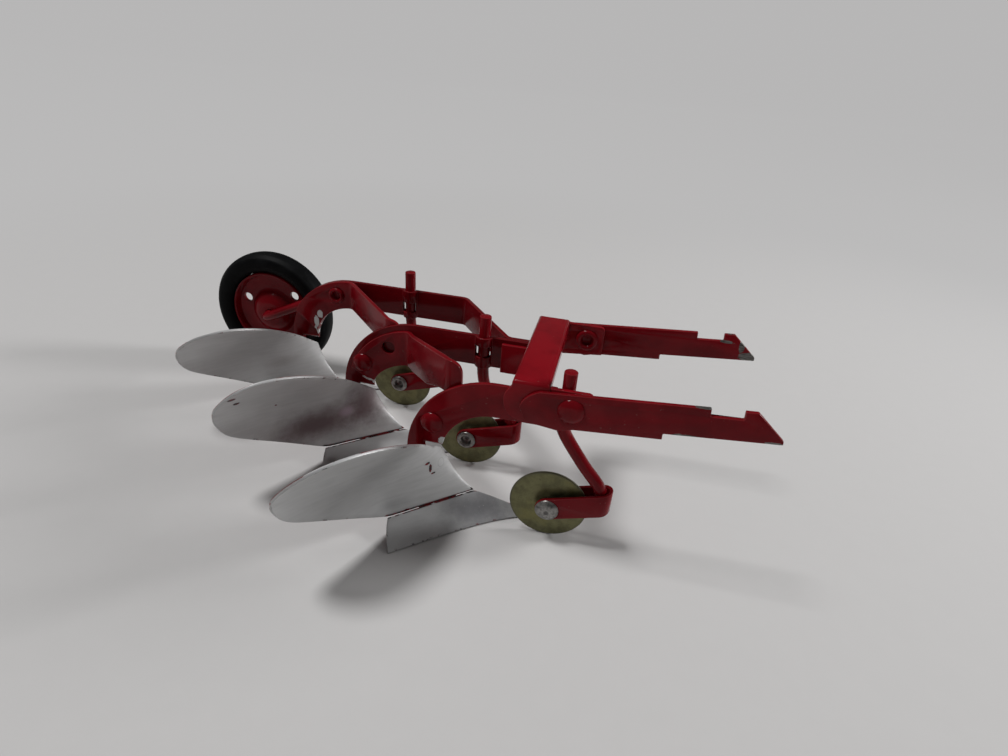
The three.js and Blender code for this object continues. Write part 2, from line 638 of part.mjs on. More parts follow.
for (let i = 0; i < 3; i += 1) {
  const side = sides[i];
  const x = stemX(i);
  const y = stemY(i);
  const axleX = beamX(i) + DISC_AXLE_X[i];
  const axleZ = DISC_R;
  const footX = axleX + FORK_LENGTH;
  const forkBottom = axleZ + FORK_LENGTH * Math.tan(forkPitch) - FORK_HEIGHT / 2 / Math.cos(forkPitch);
  const path = new THREE.CatmullRomCurve3([
    new THREE.Vector3(x, y, STEM_TOP_Z),
    new THREE.Vector3(x, y, beamBottomZ),
    new THREE.Vector3(x, y, beamBottomZ - 1),
    new THREE.Vector3(x + 1, y, STEM_BEND_Z[i]),
    new THREE.Vector3((x + footX) / 2, y, (STEM_BEND_Z[i] + STEM_FOOT_Z) / 2),
    new THREE.Vector3(footX - 0.6, y, STEM_FOOT_Z),
    new THREE.Vector3(footX, y, forkBottom - STEM_POKE),
  ], false, 'centripetal');
  add(`coulter_stem_${side}`, rod(path, STEM_R, 24), red);

  const outerHalf = forkInner / 2 + FORK_SHEET;
  const strap = new THREE.Shape();
  const webX = footX + STEM_R + LAP_GAP + FORK_SHEET;
  const endX = axleX - FORK_HEIGHT / 2;
  strap.moveTo(endX, y - outerHalf);
  strap.lineTo(webX - outerHalf, y - outerHalf);
  strap.absarc(webX - outerHalf, y, outerHalf, -Math.PI / 2, Math.PI / 2, false);
  strap.lineTo(endX, y + outerHalf);
  strap.lineTo(endX, y + forkInner / 2);
  strap.lineTo(webX - outerHalf, y + forkInner / 2);
  strap.absarc(webX - outerHalf, y, forkInner / 2, Math.PI / 2, -Math.PI / 2, true);
  strap.lineTo(endX, y - forkInner / 2);
  strap.closePath();
  const arm = new THREE.Shape();
  const armLength = (webX - axleX) / Math.cos(forkPitch) + 2;
  arm.absarc(0, 0, FORK_HEIGHT / 2, Math.PI / 2, Math.PI * 1.5, false);
  arm.lineTo(armLength, -FORK_HEIGHT / 2);
  arm.lineTo(armLength, FORK_HEIGHT / 2);
  arm.closePath();
  const armSolid = sidePlate(arm, y - outerHalf - 1, 2 * outerHalf + 2);
  armSolid.rotateY(-forkPitch);
  armSolid.translate(axleX, 0, axleZ);
  const strapSolid = floorPlate(strap, 0, STEM_FOOT_Z + 12);
  const axleHole = crossPin(DISC_RIVET_R + RUN_GAP, y - 6, y + 6, axleX, axleZ);
  add(`coulter_fork_${side}`, subtract(intersect(strapSolid, armSolid), axleHole), red);

  const disc = turned([
    [DISC_RIVET_R + RUN_GAP, -DISC_THICKNESS / 2],
    [DISC_R, -DISC_THICKNESS / 2],
    [DISC_R, DISC_THICKNESS / 2],
    [DISC_RIVET_R + RUN_GAP, DISC_THICKNESS / 2],
  ], 0, 0, 56);
  disc.translate(axleX, y, axleZ);
  add(`coulter_disc_${side}`, disc, zinc);
  const headY = (i === 0 ? -1 : 1) * (outerHalf + LAP_GAP); // only the right one was set from outside
  const rivet = hollowRivet(headY, -headY, 0, 0, DISC_RIVET_R, DISC_RIVET_HEAD_R[i]);
  rivet.translate(axleX, y, axleZ);
  add(`coulter_axle_${side}`, rivet, steel);
}

// ---- Tail wheel ----

const wheelZ = TYRE_R;
const half = TYRE_WIDTH / 2;
const tyreProfile = [];
for (let k = 0; k <= 14; k += 1) {
  const angle = -Math.PI / 2 + (Math.PI * k) / 14;
  tyreProfile.push([RIM_R + 0.8 + (TYRE_R - RIM_R - 0.8) * Math.cos(angle), half * Math.sin(angle)]);
}
const tyre = turned([[RIM_R, -half * 0.8], ...tyreProfile.slice(2, -2), [RIM_R, half * 0.8]], 0, 0, 56);
tyre.translate(wheelX, wheelY, wheelZ);
add('tail_tyre', tyre, rubber);

const wheelDisc = turned([
  [AXLE_R + RUN_GAP, -HUB_DEPTH],
  [HUB_R * 0.42, -HUB_DEPTH],
  [HUB_R * 0.72, -HUB_DEPTH * 0.84],
  [HUB_R * 0.92, -HUB_DEPTH * 0.52],
  [HUB_R, -SHEET / 2],
  [RIM_R - RIM_LIP, -SHEET / 2],
  [RIM_R - RIM_LIP * 0.8, -half * 0.62],
  [RIM_R - LAP_GAP, -half * 0.7],
  [RIM_R - LAP_GAP, half * 0.7],
  [RIM_R - RIM_LIP * 0.8, half * 0.62],
  [RIM_R - RIM_LIP, SHEET / 2],
  [AXLE_R + RUN_GAP, SHEET / 2],
], 0, 0, 48);
const holes = [0, 1, 2].map((k) => {
  const angle = THREE.MathUtils.degToRad(WHEEL_HOLE_DEG + 120 * k);
  const [x, z] = [Math.cos(angle), Math.sin(angle)].map((along) => WHEEL_HOLE_CIRCLE * along);
  return crossPin(WHEEL_HOLE_R, -4, 4, x, z, 24);
});
const wheelGeometry = subtract(wheelDisc, ...holes);
wheelGeometry.translate(wheelX, wheelY, wheelZ);
add('tail_wheel', wheelGeometry, red);

const [eyeX, eyeZ] = axleSpot;
const eyeY = beamY(2) + SHEET / 2 + LAP_GAP + AXLE_R;
const elbow = new THREE.Vector3(wheelX, elbowY, wheelZ);
const towardsEye = (share) => elbow.clone().lerp(new THREE.Vector3(eyeX, eyeY, eyeZ), share);
const axlePath = new THREE.CatmullRomCurve3([
  new THREE.Vector3(wheelX, wheelY + 2.2, wheelZ),
  new THREE.Vector3(wheelX, elbowY + 3.6, wheelZ),
  new THREE.Vector3(wheelX + 0.5, elbowY + 0.9, wheelZ + 0.2),
  towardsEye(0.09),
  towardsEye(0.5),
  towardsEye(0.85),
  towardsEye(0.93),
], false, 'centripetal');
const eye = crossPin(EYE_R, eyeY - AXLE_R, eyeY - AXLE_R + EYE_THICKNESS, eyeX, eyeZ);
const headLow = wheelY + SHEET / 2 + SIDE_GAP;
const axleHead = crossPin(AXLE_R + 1.2, headLow, headLow + 1.2, wheelX, wheelZ);
const axleSolid = unite(rod(axlePath, AXLE_R, 36), eye, axleHead);
add('tail_axle', subtract(axleSolid, crossPin(RIVET_R + LAP_GAP, eyeY - 5, eyeY + 5, eyeX, eyeZ)), red);
const eyeFace = farFace(2) + EYE_THICKNESS + LAP_GAP;
const axleRivet = hollowRivet(eyeFace, nearFace(2, 1), eyeX, eyeZ, RIVET_R, AXLE_RIVET_HEAD_R);
add('axle_rivet', axleRivet, red);

// ---- Stand the plough on z = 0 with its box centred over the origin ----

const box = new THREE.Box3().setFromObject(plough);
const centre = box.getCenter(new THREE.Vector3());
plough.traverse((node) => {
  if (node.isMesh) {
    node.geometry.translate(-centre.x, -centre.y, 0);
    node.geometry.computeVertexNormals();
  }
});

export default plough;
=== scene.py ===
"""Looks of a small pressed-steel toy plough.

Enamelled sheet, painted moldboards, plated coulters and a rubber tyre.
"""

import json
import math
from contextlib import contextmanager

import bpy
from mathutils import Matrix, Vector, kdtree

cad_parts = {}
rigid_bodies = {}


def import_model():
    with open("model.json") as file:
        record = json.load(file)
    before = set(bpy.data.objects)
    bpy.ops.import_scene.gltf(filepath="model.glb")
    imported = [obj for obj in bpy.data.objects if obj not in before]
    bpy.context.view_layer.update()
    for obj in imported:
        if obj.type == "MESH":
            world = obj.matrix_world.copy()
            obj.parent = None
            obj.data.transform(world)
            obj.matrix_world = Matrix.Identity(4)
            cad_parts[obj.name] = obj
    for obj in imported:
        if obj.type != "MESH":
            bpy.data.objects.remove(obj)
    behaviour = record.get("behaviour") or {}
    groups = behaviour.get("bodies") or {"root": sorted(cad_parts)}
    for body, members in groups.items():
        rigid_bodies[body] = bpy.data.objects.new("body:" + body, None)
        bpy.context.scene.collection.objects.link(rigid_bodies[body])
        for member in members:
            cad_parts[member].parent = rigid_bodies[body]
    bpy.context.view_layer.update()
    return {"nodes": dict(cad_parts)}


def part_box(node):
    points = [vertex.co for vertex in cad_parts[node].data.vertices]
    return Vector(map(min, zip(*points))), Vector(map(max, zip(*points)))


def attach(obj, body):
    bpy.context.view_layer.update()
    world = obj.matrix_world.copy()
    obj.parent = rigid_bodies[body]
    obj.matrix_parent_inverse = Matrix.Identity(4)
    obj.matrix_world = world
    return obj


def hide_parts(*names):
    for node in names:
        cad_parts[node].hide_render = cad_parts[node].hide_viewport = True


bl_info = {
    "name": "Toy Plough",
    "version": (1, 0, 0),
    "blender": (4, 5, 0),
    "location": "3D View > Sidebar > Plough",
    "description": "Makes a pressed-steel toy moldboard plough around its packed frame",
    "category": "Object",
}

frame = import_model()
NODES = frame["nodes"]
MM = 0.001
SIDES = ("right", "middle", "left")
WELD_DISTANCE = 2e-6  # closer points than this are one, in metres
CUTTER_SIDES = 48
RING_MERGE = 1.1e-5  # closes a lathed piece's poles, whose first ring is smaller than this
POLE = 0.005 * MM


def centre_of(node):
    low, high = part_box(node)
    return (low + high) / 2


HITCH = centre_of("hitch_rivet_right")
BEAM_Y = centre_of("beam_right").y


def place(x, y, z):
    """A point in millimetres ahead of the hitch rivet, left of the right beam and above the ground."""
    return Vector((HITCH.x + x * MM, BEAM_Y + y * MM, z * MM))


# ---- Settings ----


def colour(name, description, default):
    return bpy.props.FloatVectorProperty(
        name=name, description=description, default=default, size=3, min=0, max=1, subtype="COLOR"
    )


def length(name, description, default):
    return bpy.props.FloatProperty(
        name=name, description=description, default=default, min=0, unit="LENGTH", precision=5
    )


def share(name, description, default):
    return bpy.props.FloatProperty(
        name=name, description=description, default=default, min=0, max=1, subtype="FACTOR"
    )


def power(name, description, default):
    return bpy.props.FloatProperty(name=name, description=description, default=default, unit="POWER")


class PaintSettings(bpy.types.PropertyGroup):
    enamel: colour("Enamel", "Red enamel on the sheet steel", (0.190, 0.0034, 0.0078))
    enamel_deep: colour("Deep enamel", "Where the enamel lies thick", (0.140, 0.0022, 0.0055))
    silver: colour("Silver paint", "Aluminium paint on the moldboards", (0.55, 0.55, 0.55))
    zinc: colour("Plating", "Yellow plating of the coulter discs", (0.180, 0.172, 0.078))
    steel: colour("Bare steel", "Worn or rolled steel", (0.31, 0.30, 0.285))
    rubber: colour("Rubber", "Tyre rubber", (0.0030, 0.0031, 0.0034))


class WearSettings(bpy.types.PropertyGroup):
    edge_chips: share("Edge chips", "How far paint is lost along the edges", 0.3)
    grime: share("Grime", "How dull the paint has become", 0.4)


class ShapeSettings(bpy.types.PropertyGroup):
    sheet_edge: length("Sheet edge", "Rounding of a punched edge under its paint", 0.28 * MM)
    fold: length("Fold", "Rounding where the bracket's top is folded down", 1.1 * MM)
    plate_edge: length("Plate edge", "Rounding of a moldboard's edge", 0.16 * MM)
    rod_edge: length("Rod edge", "Rounding of a cut rod's end", 0.25 * MM)
    hub_radius: length("Hub radius", "Radius of the wheel's pressed hub", 9.0 * MM)
    hub_depth: length("Hub depth", "How far the hub stands out of the disc", 4.6 * MM)
    rim_lip: length("Rim lip", "Width of the raised band inside the tyre", 1.7 * MM)
    hole_radius: length("Hole radius", "Radius of the wheel's three holes", 1.8 * MM)
    hole_circle: length("Hole circle", "Radius of the circle that they lie on", 12.0 * MM)


class StageSettings(bpy.types.PropertyGroup):
    floor: colour("Floor", "Colour of the table", (0.60, 0.59, 0.585))
    backdrop: colour("Backdrop", "Colour of the wall behind", (0.47, 0.465, 0.465))
    key: power("Key light", "Power of the soft light", 15.0)
    fill: power("Fill light", "Power of the fill light", 5.0)


# ---- Materials ----

CHIPPED_EDGE = (0.40, 0.09, 0.09)
ENAMEL_SPECK = (0.22, 0.10, 0.09)
DARK_STEEL = (0.05, 0.042, 0.036)
BRUSHED_SILVER = (0.62, 0.62, 0.62)
PRIMER_BLACK = (0.018, 0.015, 0.015)
PLATING_RIM = (0.075, 0.07, 0.05)
PLATING_SPECK = (0.05, 0.045, 0.035)
HOLLOW_PAINTED_SHADE = (0.035, 0.03, 0.028)
DUST = (0.07, 0.065, 0.06)
BLACK = (0, 0, 0)


def rgb(value):
    return tuple(value)


def shade(value, factor):
    return tuple(c * factor for c in value)


def socket_value(value):
    """A colour of three numbers gets the alpha that its socket needs."""
    is_colour = isinstance(value, (tuple, list)) and len(value) == 3
    return (*value, 1) if is_colour else value


class Value:
    """A socket of a finish's nodes; arithmetic on it adds Math nodes."""

    def __init__(self, finish, socket):
        self.finish = finish
        self.socket = socket

    def math(self, operation, *values):
        inputs = dict(enumerate(values))
        return self.finish.node("ShaderNodeMath", {"operation": operation}, inputs)

    def __add__(self, other):
        return self.math("ADD", self, other)

    __radd__ = __add__

    def __sub__(self, other):
        return self.math("SUBTRACT", self, other)

    def __rsub__(self, other):
        return self.math("SUBTRACT", other, self)

    def __mul__(self, other):
        return self.math("MULTIPLY", self, other)

    __rmul__ = __mul__

    def __truediv__(self, other):
        return self.math("DIVIDE", self, other)

    def larger(self, other):
        return self.math("MAXIMUM", self, other)

    def step(self, low, high):
        """0 below low and 1 above high, with a soft change between."""
        settings = {"interpolation_type": "SMOOTHSTEP"}
        inputs = {"Value": self, "From Min": low, "From Max": high}
        return self.finish.node("ShaderNodeMapRange", settings, inputs)


class Finish:
    """A material's node tree."""

    def __init__(self, name):
        self.material = bpy.data.materials.new(name)
        self.material.use_nodes = True
        self.tree = self.material.node_tree
        self.tree.nodes.clear()
        self.surface = self.tree.nodes.new("ShaderNodeBsdfPrincipled")
        output = self.tree.nodes.new("ShaderNodeOutputMaterial")
        self.tree.links.new(self.surface.outputs[0], output.inputs[0])
        self.position = self.node("ShaderNodeTexCoord", output="Object")

    def feed(self, socket, value):
        if isinstance(value, Value):
            self.tree.links.new(value.socket, socket)
        else:
            socket.default_value = value

    def node(self, kind, settings=None, inputs=None, output=0):
        made = self.tree.nodes.new(kind)
        for key, value in (settings or {}).items():
            setattr(made, key, value)
        for key, value in (inputs or {}).items():
            self.feed(made.inputs[key], value)
        return Value(self, made.outputs[output])

    def noise(self, size, detail=3, roughness=0.55, stretch=(1, 1, 1)):
        """Cloudy noise from 0 to 1; size is its grain in millimetres, and stretch lengthens it by axis."""
        scale = tuple(1 / s for s in stretch)
        place = self.node("ShaderNodeMapping", {}, {"Vector": self.position, "Scale": scale})
        inputs = {"Vector": place, "Scale": 1 / (size * MM), "Detail": detail, "Roughness": roughness}
        return self.node("ShaderNodeTexNoise", {"normalize": True}, inputs)

    def mix(self, a, b, factor):
        made = self.tree.nodes.new("ShaderNodeMix")
        made.data_type = "RGBA"
        for index, value in ((0, factor), (6, a), (7, b)):
            self.feed(made.inputs[index], socket_value(value))
        return Value(self, made.outputs[2])

    def attribute(self, name):
        return self.node("ShaderNodeAttribute", {"attribute_name": name}, output="Fac")

    def vector(self, operation, *values, output=0):
        inputs = dict(enumerate(values))
        return self.node("ShaderNodeVectorMath", {"operation": operation}, inputs, output)

    def length(self, vector):
        return self.vector("LENGTH", vector, output="Value")

    def distance(self, centre):
        return self.vector("DISTANCE", self.position, centre, output="Value")

    def patch(self, centre, size, ragged=0.5, grain=1.2, soft=0.1):
        """1 inside an oval with a ragged edge, 0 outside; size is its half widths in millimetres."""
        away = self.vector("SUBTRACT", self.position, centre)
        away = self.vector("DIVIDE", away, shade(size, MM))
        inside = 1.0 - self.length(away)
        return (inside + (self.noise(grain, 4, 0.65) - 0.5) * (2 * ragged)).step(-0.02, soft)

    def bump(self, height, depth, strength=1.0):
        """Relief; depth is in millimetres."""
        inputs = {"Height": height, "Distance": depth * MM, "Strength": strength}
        self.feed(self.surface.inputs["Normal"], self.node("ShaderNodeBump", {}, inputs))

    def set(self, **values):
        for key, value in values.items():
            self.feed(self.surface.inputs[key.replace("_", " ")], socket_value(value))
        return self.material


def total(masks):
    result = masks[0]
    for mask in masks[1:]:
        result = result.larger(mask)
    return result


def red_enamel(name, bare=(), spray=(), dull=0.0, tone=1.0):
    """Gloss enamel on sheet.

    bare lists the ovals where it has worn off, and spray those with silver overspray.
    """
    paint, wear = bpy.context.scene.plough_paint, bpy.context.scene.plough_wear
    finish = Finish(name)
    cloud = finish.noise(9, 3)
    fine = finish.noise(0.5, 3, 0.6)
    # tone scales both enamel colours: below 1 it is painted shade on a whole part, above 1 painted light
    deep, full = shade(paint.enamel_deep, tone), shade(paint.enamel, tone)
    base = finish.mix(deep, full, cloud.step(0.3, 0.62))
    base = finish.mix(base, CHIPPED_EDGE, finish.attribute("edge") * 0.22)
    specks = finish.noise(0.9, 1, 0.3).step(0.765, 0.79)
    base = finish.mix(base, ENAMEL_SPECK, specks * 0.3)
    rough = 0.12 + wear.grime * 0.12 + dull + (cloud - 0.5) * 0.10 + (fine - 0.5) * 0.04
    flaking = (finish.noise(2.6, 5, 0.7) + wear.edge_chips * 0.2).step(0.70, 0.735)
    chips = finish.attribute("edge").step(0.3, 0.9) * flaking
    worn = total([finish.patch(*oval) for oval in bare]).larger(chips) if bare else chips
    scratch = finish.noise(0.25, 2, 0.5, (9, 1, 1))
    steel = finish.mix(DARK_STEEL, shade(paint.steel, 0.75), scratch.step(0.3, 0.7))
    base = finish.mix(base, steel, worn)
    metal = worn * 0.75
    rough = rough * (1.0 - worn) + worn * 0.42
    height = (fine * 0.25 + finish.noise(1.8, 2) * 0.75) - worn * 0.9
    if spray:
        over = total([finish.patch(*oval) for oval in spray])
        base = finish.mix(base, rgb(paint.silver), over)
        metal = metal.larger(over * 0.5)
        rough = rough * (1.0 - over) + over * 0.42
        height = height + over * 0.5
    finish.bump(height, 0.035, 0.5)
    return finish.set(Base_Color=base, Roughness=rough, Metallic=metal, Specular_IOR_Level=0.14)


def silver_paint(name, marks=(), weld=None, wear_amount=0.0, shade_patches=()):
    """Aluminium paint on the front, red enamel on the back, and both worn along the rim."""
    paint = bpy.context.scene.plough_paint
    finish = Finish(name)
    streak = finish.noise(1.1, 4, 0.6, (8, 8, 1))
    cloud = finish.noise(12, 2)
    grain = finish.noise(0.35, 2, 0.5)
    tone = (streak * 0.5 + cloud * 0.5).step(0.3, 0.68)
    silver = finish.mix(shade(paint.silver, 0.84), rgb(paint.silver), tone)
    front = finish.attribute("front")
    ragged = (front + (finish.noise(0.9, 4, 0.7) - 0.5) * 0.7).step(0.32, 0.5)
    edge = finish.attribute("rim").step(0.35, 0.95)
    chips = edge * finish.noise(2.4, 5, 0.7).step(0.575, 0.62)
    masks = [finish.patch(*mark) for mark in marks]
    scratch = finish.noise(0.7, 4, 0.75, (1, 1, 3)).step(0.66, 0.72) * wear_amount
    joint = finish.attribute("joint").step(0.35, 0.75)
    dark = total([*masks, chips * 0.8, joint])
    red = finish.mix(rgb(paint.enamel_deep), rgb(paint.enamel), cloud)
    # painted shade: each patch darkens the silver where the bottom lies in shade
    for centre, size, shade_colour, amount in shade_patches:
        silver = finish.mix(silver, shade_colour, finish.patch(centre, size, 0.25, 4, 0.9) * amount)
    base = finish.mix(red, silver, ragged)
    base = finish.mix(base, BRUSHED_SILVER, scratch * ragged)
    primer = finish.noise(1.6, 2).step(0.45, 0.6)
    bare = finish.mix(PRIMER_BLACK, rgb(paint.enamel_deep), primer)
    base = finish.mix(base, bare, dark)
    clean = ragged * (1.0 - dark)
    rough = 0.32 + clean * 0.18 + (streak - 0.5) * 0.12 + (grain - 0.5) * 0.05 - scratch * 0.1
    height = grain * 0.35 + streak * 0.65 + clean * 0.6
    if weld:
        centre, radius = weld
        away = finish.distance(centre) / (radius * MM)
        ring = away.step(0.75, 1.0) - away.step(1.0, 1.2)
        height = height - ring * 1.2
        base = finish.mix(base, shade(paint.silver, 0.55), ring * 0.35)
    finish.bump(height, 0.04, 0.55)
    return finish.set(Base_Color=base, Roughness=rough, Metallic=clean * 0.4, Specular_IOR_Level=0.25)


def yellow_plate(name, centre, radius):
    """Dull yellow plating, blotched and scuffed by turning in the fork."""
    paint = bpy.context.scene.plough_paint
    finish = Finish(name)
    blotch = finish.noise(3.4, 4, 0.65)
    cloud = finish.noise(7, 2)
    away = finish.distance(centre)
    rim = (away / radius + (blotch - 0.5) * 0.08).step(0.93, 1.0)
    zinc = rgb(paint.zinc)
    base = finish.mix(shade(zinc, 0.62), zinc, blotch.step(0.35, 0.62))
    warm = (zinc[0] * 1.25, zinc[1] * 1.2, zinc[2] * 0.9)
    base = finish.mix(base, warm, cloud.step(0.5, 0.75) * 0.6)
    turning = {"W": away * 2400.0, "Detail": 3}
    ring = finish.node("ShaderNodeTexNoise", {"noise_dimensions": "1D"}, turning)
    base = finish.mix(base, shade(zinc, 1.5), ring.step(0.56, 0.68) * 0.22)
    base = finish.mix(base, PLATING_RIM, rim * 0.65)
    specks = finish.noise(0.8, 2, 0.5).step(0.70, 0.74)
    base = finish.mix(base, PLATING_SPECK, specks * 0.7)
    rough = 0.42 + (blotch - 0.5) * 0.25 - ring * 0.06
    finish.bump(ring * 0.6 + finish.noise(0.6, 3) * 0.4, 0.02, 0.5)
    return finish.set(Base_Color=base, Roughness=rough, Metallic=0.55 - rim * 0.3)


def rolled_steel(name, centre):
    """Bare rivet steel, bright where it was struck, with painted shade darkening its hollow."""
    paint = bpy.context.scene.plough_paint
    finish = Finish(name)
    cloud = finish.noise(1.1, 4, 0.6)
    base = finish.mix(shade(paint.steel, 0.45), rgb(paint.steel), cloud.step(0.3, 0.6))
    away = finish.vector("SUBTRACT", finish.position, centre)
    off_axis = finish.length(finish.vector("MULTIPLY", away, (1, 0, 1)))
    # painted shade: the hollow round the axis is darkened
    hollow = 1.0 - (off_axis / MM).step(0.45, 0.95)
    base = finish.mix(base, HOLLOW_PAINTED_SHADE, hollow * 0.75)
    finish.bump(cloud + finish.noise(0.3, 2) * 0.4, 0.05, 0.5)
    rough = 0.34 + (cloud - 0.5) * 0.3
    return finish.set(Base_Color=base, Roughness=rough, Metallic=0.8 - hollow * 0.6)


def tyre_rubber(name):
    """Soft black rubber with dust in its pores."""
    paint = bpy.context.scene.plough_paint
    finish = Finish(name)
    cloud = finish.noise(6, 4, 0.6)
    pores = finish.noise(0.45, 3, 0.6)
    base = finish.mix(rgb(paint.rubber), shade(paint.rubber, 2.6), cloud.step(0.45, 0.75))
    base = finish.mix(base, DUST, finish.noise(1.3, 2).step(0.72, 0.77) * 0.35)
    finish.bump(pores * 0.6 + cloud * 0.4, 0.05, 0.6)
    rough = 0.55 + (cloud - 0.5) * 0.2 + (pores - 0.5) * 0.08
    return finish.set(Base_Color=base, Roughness=rough, Specular_IOR_Level=0.07)


# ---- Modelling ----


def deselect():
    for item in bpy.context.view_layer.objects:
        item.select_set(False)


def pick(piece):
    deselect()
    piece.select_set(True)
    bpy.context.view_layer.objects.active = piece


@contextmanager
def editing(piece, kind="VERT"):
    pick(piece)
    bpy.ops.object.mode_set(mode="EDIT")
    bpy.ops.mesh.select_mode(type=kind)
    bpy.ops.mesh.select_all(action="SELECT")
    yield
    bpy.ops.object.mode_set(mode="OBJECT")


def modify(piece, kind, **settings):
    pick(piece)
    modifier = piece.modifiers.new(kind.lower(), kind)
    for key, value in settings.items():
        setattr(modifier, key, value)
    bpy.ops.object.modifier_apply(modifier=modifier.name)


def smooth(piece, degrees=32):
    pick(piece)
    bpy.ops.object.shade_smooth_by_angle(angle=math.radians(degrees))


def finish_piece(piece, body, nodes, material):
    """Puts the piece's place in its mesh, gives it its finish and sets it on its body."""
    pick(piece)
    bpy.ops.object.transform_apply(location=True, rotation=True, scale=True)
    piece.data.materials.clear()
    piece.data.materials.append(material)
    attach(piece, body)
    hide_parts(*nodes)


def copy_of(node, name):
    """A frame node's shape as a new piece, its loose triangles merged."""
    piece = bpy.data.objects.new(name, NODES[node].data.copy())
    bpy.context.scene.collection.objects.link(piece)
    pick(piece)
    bpy.ops.mesh.customdata_custom_splitnormals_clear()
    with editing(piece):
        bpy.ops.mesh.remove_doubles(threshold=WELD_DISTANCE)
        bpy.ops.mesh.normals_make_consistent(inside=False)
    return piece


def set_attribute(piece, name, values):
    piece.data.attributes.new(name, "FLOAT", "POINT").data.foreach_set("value", values)


def round_edges(piece, width, angle=38):
    """Rounds the sharp edges and marks the points that lie only in the rounding."""
    while len(piece.data.materials) < 2:
        piece.data.materials.append(None)
    modify(
        piece,
        "BEVEL",
        width=width,
        segments=2,
        limit_method="ANGLE",
        angle_limit=math.radians(angle),
        material=1,
        use_clamp_overlap=False,
        miter_outer="MITER_ARC",
    )
    rounded = [1.0] * len(piece.data.vertices)
    for face in piece.data.polygons:
        for vertex in face.vertices:
            rounded[vertex] = min(rounded[vertex], float(face.material_index))
        face.material_index = 0
    set_attribute(piece, "edge", rounded)


def fold_edges(piece, radius):
    """Rounds the two long edges where the top is folded down at its sides."""
    points = [v.co for v in piece.data.vertices]
    low, high = (Vector(pick_end(p[k] for p in points) for k in range(3)) for pick_end in (min, max))
    near = 0.02 * MM
    with editing(piece, "EDGE"):
        bpy.ops.mesh.select_all(action="DESELECT")
        bpy.ops.object.mode_set(mode="OBJECT")
        for edge in piece.data.edges:
            ends = [piece.data.vertices[v].co for v in edge.vertices]
            at_top = all(end.z > high.z - near for end in ends)
            edge.select = at_top and all(min(end.y - low.y, high.y - end.y) < near for end in ends)
        bpy.ops.object.mode_set(mode="EDIT")
        bpy.ops.mesh.bevel(offset=radius, segments=6)


def pressed_copy(node, name, width, fold=0):
    """A punched and folded sheet part with its edges rounded."""
    piece = copy_of(node, name)
    piece.data.materials.clear()
    with editing(piece):
        bpy.ops.mesh.dissolve_limited(angle_limit=math.radians(0.4))
    if fold:
        fold_edges(piece, fold)
    round_edges(piece, width)
    smooth(piece)
    return piece


def lathe(name, centre, profile, segments=64):
    """A piece turned about a line along y, ring by ring.

    The profile's points are (radius, y from the centre), in metres.
    """
    deselect()
    start = profile[0]
    bpy.ops.mesh.primitive_circle_add(
        vertices=segments,
        radius=start[0],
        location=centre + Vector((0, start[1], 0)),
        rotation=(math.pi / 2, 0, 0),
    )
    piece = bpy.context.object
    piece.name = piece.data.name = name
    with editing(piece, "EDGE"):
        for (radius, y), (next_radius, next_y) in zip(profile, profile[1:]):
            bpy.ops.mesh.extrude_region_move(TRANSFORM_OT_translate={"value": (0, next_y - y, 0)})
            grow = next_radius / radius
            bpy.ops.transform.resize(
                value=(grow, 1, grow), center_override=centre + Vector((0, next_y, 0)), orient_type="GLOBAL"
            )
        bpy.ops.mesh.select_mode(type="VERT")
        bpy.ops.mesh.select_all(action="SELECT")
        bpy.ops.mesh.remove_doubles(threshold=RING_MERGE)
        bpy.ops.mesh.normals_make_consistent(inside=False)
    pick(piece)
    bpy.ops.object.transform_apply(location=True, rotation=True, scale=True)
    return piece


def cut_round(piece, vertices, radius, depth, location, rotation=(0, 0, 0)):
    """Cuts a round hole, along z unless it is turned."""
    deselect()
    bpy.ops.mesh.primitive_cylinder_add(
        vertices=vertices, radius=radius, depth=depth, location=location, rotation=rotation
    )
    cutter = bpy.context.object
    modify(piece, "BOOLEAN", operation="DIFFERENCE", object=cutter, solver="EXACT")
    bpy.data.objects.remove(cutter, do_unlink=True)


def drill(piece, spots, radius, y_low, y_high):
    """Cuts round holes along y at the (x, z) spots."""
    for x, z in spots:
        place_at = (x, (y_low + y_high) / 2, z)
        cut_round(piece, 40, radius, y_high - y_low, place_at, (math.pi / 2, 0, 0))


# ---- Pieces ----


# Each oval is its centre, its half widths in millimetres, how ragged it is and its grain.
SPRAY = {
    "right": [
        (place(-33.6, 0, 27.4), (1.7, 4, 1.5), 0.5, 0.9),
        (place(-32.2, 0, 25.0), (0.8, 4, 1.6), 0.5, 0.8),
    ],
    "middle": [
        (place(-67.3, 27.2, 26.9), (2.4, 4, 0.9), 0.6, 1.0),
        (place(-65.4, 27.2, 26.0), (1.0, 4, 1.2), 0.6, 0.9),
    ],
    "left": [
        (place(-99.0, 54.4, 31.2), (1.1, 4, 2.6), 0.35, 1.4),
        (place(-97.4, 54.4, 34.2), (1.3, 4, 1.9), 0.35, 1.4),
        (place(-99.6, 54.4, 27.6), (0.6, 4, 2.2), 0.4, 1.0),
    ],
}


class PLOUGH_OT_beams(bpy.types.Operator):
    """The three beams with their goosenecks, in enamelled sheet"""

    bl_idname = "plough.beams"
    bl_label = "Beams"

    def execute(self, context):
        for side in SIDES:
            piece = pressed_copy(f"beam_{side}", f"Beam_{side}", context.scene.plough_shape.sheet_edge)
            # painted shade: the middle and left beams, which lie in the shade of the parts in front of
            # them, get darker enamel
            tone = 1.0 if side == "right" else 0.7
            material = red_enamel(f"Beam enamel {side}", spray=SPRAY[side], tone=tone)
            finish_piece(piece, "frame", [f"beam_{side}"], material)
        return {"FINISHED"}


